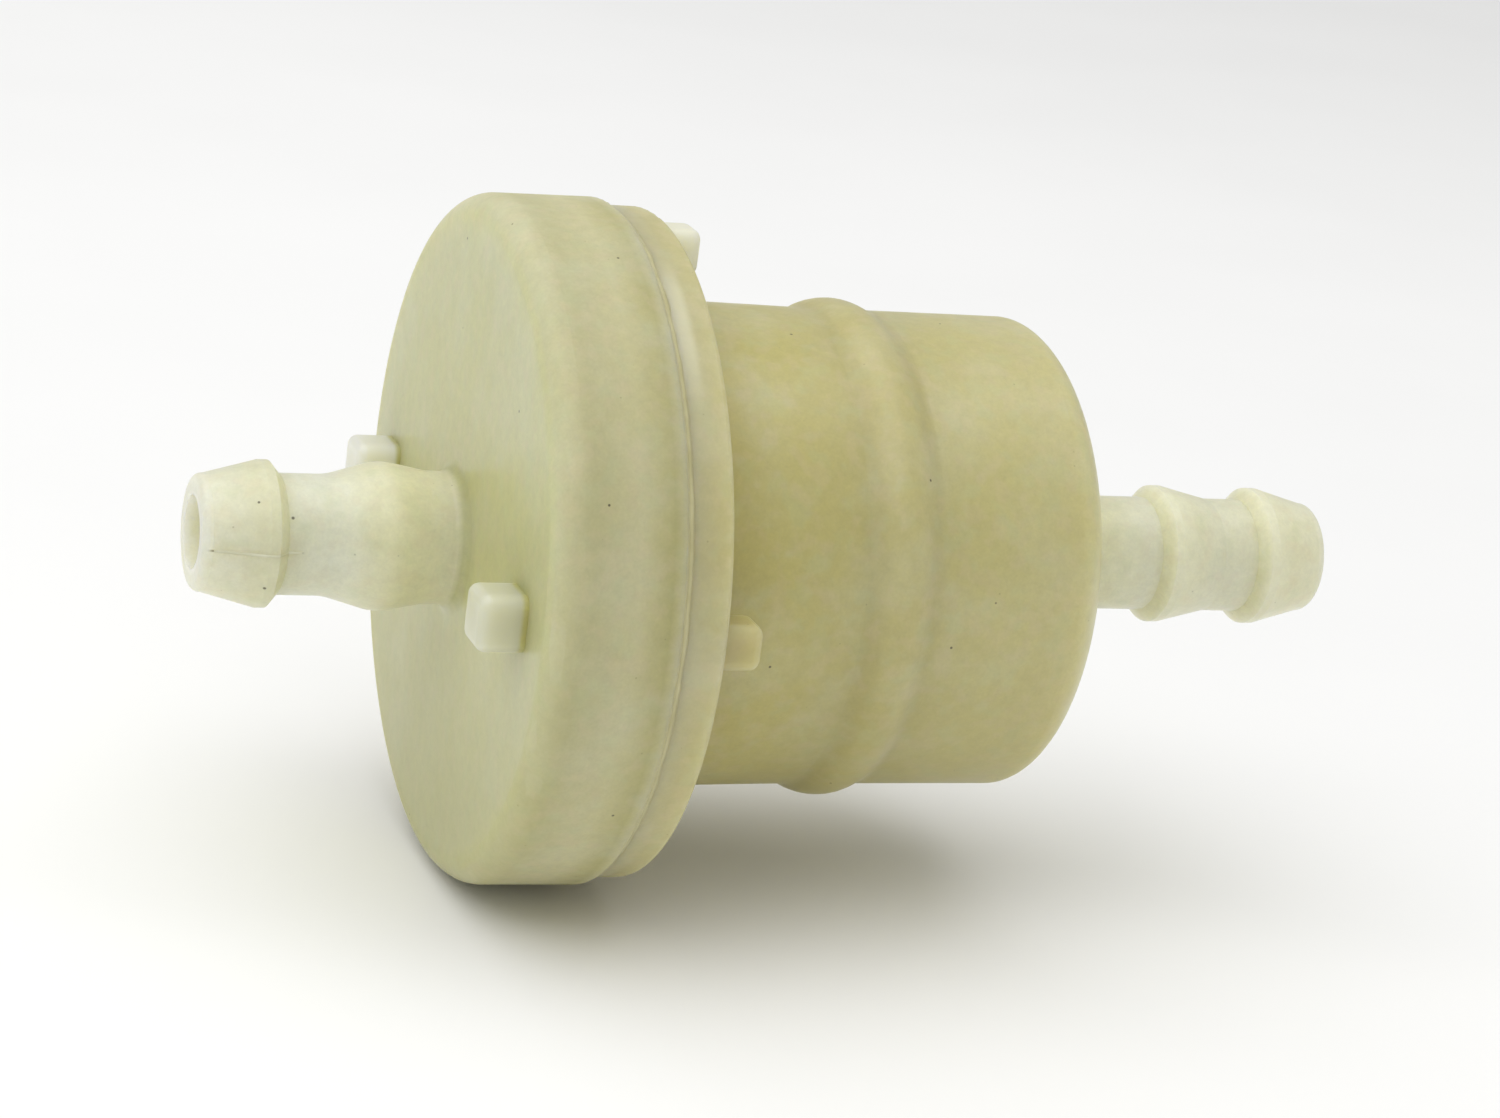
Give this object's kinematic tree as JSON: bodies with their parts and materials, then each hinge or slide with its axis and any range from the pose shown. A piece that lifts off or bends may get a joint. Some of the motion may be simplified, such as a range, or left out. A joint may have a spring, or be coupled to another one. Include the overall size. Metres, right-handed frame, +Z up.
{
  "type": "in-line fuel filter",
  "caption": "Small in-line fuel filter: wide disc-shaped inlet cap welded to a narrower round barrel, milky plastic, with barbed hose nipples at both ends.",
  "frame": {"origin": "on the flow axis, half way between the tips of the two nipples", "axes": "+X along the flow axis, from the inlet nipple to the outlet nipple; the two lugs on the cap's face lie on the Y axis; +Z up"},
  "size_m": [0.0668, 0.038, 0.038],
  "materials": {
    "milky_cap_plastic": "milky translucent, satin",
    "milky_body_plastic": "milky translucent, satin",
    "element_plastic": "matt moulded",
    "adhesive": "smooth, cured",
    "filter_paper": "resin-treated paper"
  },
  "bodies": {
    "root": {"inlet_cap": "milky_cap_plastic", "outlet_body": "milky_body_plastic", "closed_end_plate": "element_plastic", "closed_end_adhesive": "adhesive", "pleated_media": "filter_paper", "core_tube": "element_plastic", "open_end_adhesive": "adhesive", "open_end_plate": "element_plastic"}
  },
  "joints": []
}
